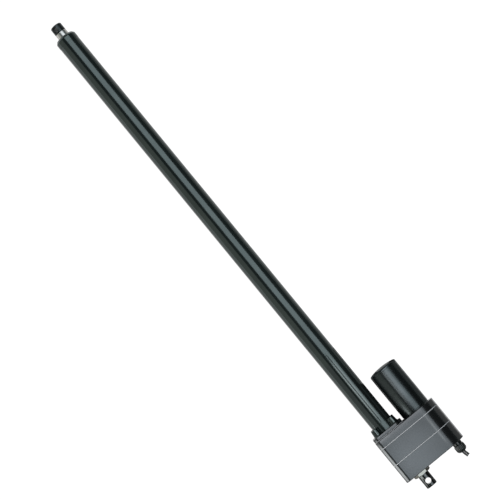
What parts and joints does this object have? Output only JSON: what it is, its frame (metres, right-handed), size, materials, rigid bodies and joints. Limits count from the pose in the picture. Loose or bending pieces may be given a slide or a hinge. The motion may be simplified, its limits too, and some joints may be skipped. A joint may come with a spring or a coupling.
{
  "type": "linear actuator",
  "caption": "Electric linear actuator: a brushed motor beside a long thrust tube drives a ball screw through spur gears, and a steel rod slides out between round pinned adapters.",
  "frame": {"origin": "centre of the flat end face of the rear adapter, on the thrust axis", "axes": "+X along the thrust axis towards the rod end, -Y towards the motor, +Z out of the front of the gear housing"},
  "size_m": [1.281, 0.1555, 0.084],
  "materials": {
    "anodised": "glossy black anodised",
    "motor_paint": "glossy black paint",
    "housing": "dark grey anodised, satin",
    "black_steel": "blackened, satin",
    "bright_steel": "ground and polished",
    "plated_steel": "zinc plated, satin",
    "bronze": "satin",
    "copper": "enamelled",
    "lamination": "matte",
    "magnet": "matte",
    "carbon": "matte",
    "nylon": "satin black moulding",
    "acetal": "satin white",
    "seal": "matte black",
    "gasket": "matte light grey",
    "cable_jacket": "satin black",
    "circuit_board": "satin green"
  },
  "bodies": {
    "housing": {"rear_adapter": "black_steel", "rear_jam_nut": "plated_steel", "adapter_nut": "plated_steel", "rear_cover": "housing", "rear_gasket": "gasket", "gear_case": "housing", "front_gasket": "gasket", "front_cover": "housing", "flange_gasket": "gasket", "tube_flange": "anodised", "flange_screw_1": "plated_steel", "flange_screw_2": "plated_steel", "flange_screw_3": "plated_steel", "flange_screw_4": "plated_steel", "case_screw_1": "plated_steel", "case_screw_2": "plated_steel", "case_screw_3": "plated_steel", "case_screw_4": "plated_steel", "cover_tube": "anodised", "tube_end_cap": "anodised", "guide_bush": "bronze", "wiper_seal": "seal", "motor_can": "motor_paint", "motor_end_cap": "motor_paint", "brush_plate": "nylon", "tube_side_brush": "carbon", "outer_side_brush": "carbon", "upper_magnet": "magnet", "lower_magnet": "magnet", "motor_front_bearing": "bright_steel", "motor_rear_bearing": "bright_steel", "rear_bearing_outer": "bright_steel", "front_bearing_outer": "bright_steel", "idler_axle": "bright_steel", "brake_housing": "black_steel", "control_board": "circuit_board", "gland_body": "nylon", "gland_nut": "nylon", "gland_seal": "seal", "cable_stub": "cable_jacket", "motor_lead": "nylon"},
    "screw": {"ball_screw": "plated_steel", "screw_end_bush": "acetal", "rear_bearing_inner": "bright_steel", "front_bearing_inner": "bright_steel", "screw_lock_nut": "plated_steel", "screw_gear": "plated_steel", "brake_disc": "black_steel"},
    "idler": {"idler_gear": "plated_steel", "idler_pinion": "plated_steel"},
    "rotor": {"motor_shaft": "bright_steel", "motor_pinion": "plated_steel", "armature_core": "lamination", "armature_windings": "copper", "commutator": "copper"},
    "rod": {"extension_tube": "bright_steel", "ball_nut": "plated_steel", "nut_guide": "acetal", "front_adapter": "black_steel"}
  },
  "joints": [
    {"name": "screw_turn", "type": "hinge", "parent": "housing", "child": "screw", "pos_m": [0.1453, 0, 0], "axis": [-1, 0, 0], "range_deg": [0, 17100]},
    {"name": "idler_turn", "type": "hinge", "parent": "housing", "child": "idler", "pos_m": [0.1453, -0.04155, 0.00613], "axis": [-1, 0, 0], "range_deg": [-51300, 0]},
    {"name": "rotor_spin", "type": "hinge", "parent": "housing", "child": "rotor", "pos_m": [0.1453, -0.0755, 0], "axis": [-1, 0, 0], "range_deg": [0, 145350]},
    {"name": "rod_slide", "type": "slide", "parent": "housing", "child": "rod", "axis": [1, 0, 0], "range_m": [0, 0.95]}
  ],
  "couplings": [
    {"joint": "idler_turn", "follows": "screw_turn", "ratio": -3},
    {"joint": "rotor_spin", "follows": "screw_turn", "ratio": 8.5},
    {"joint": "rod_slide", "follows": "screw_turn", "m_per_rad": 0.0031831}
  ]
}
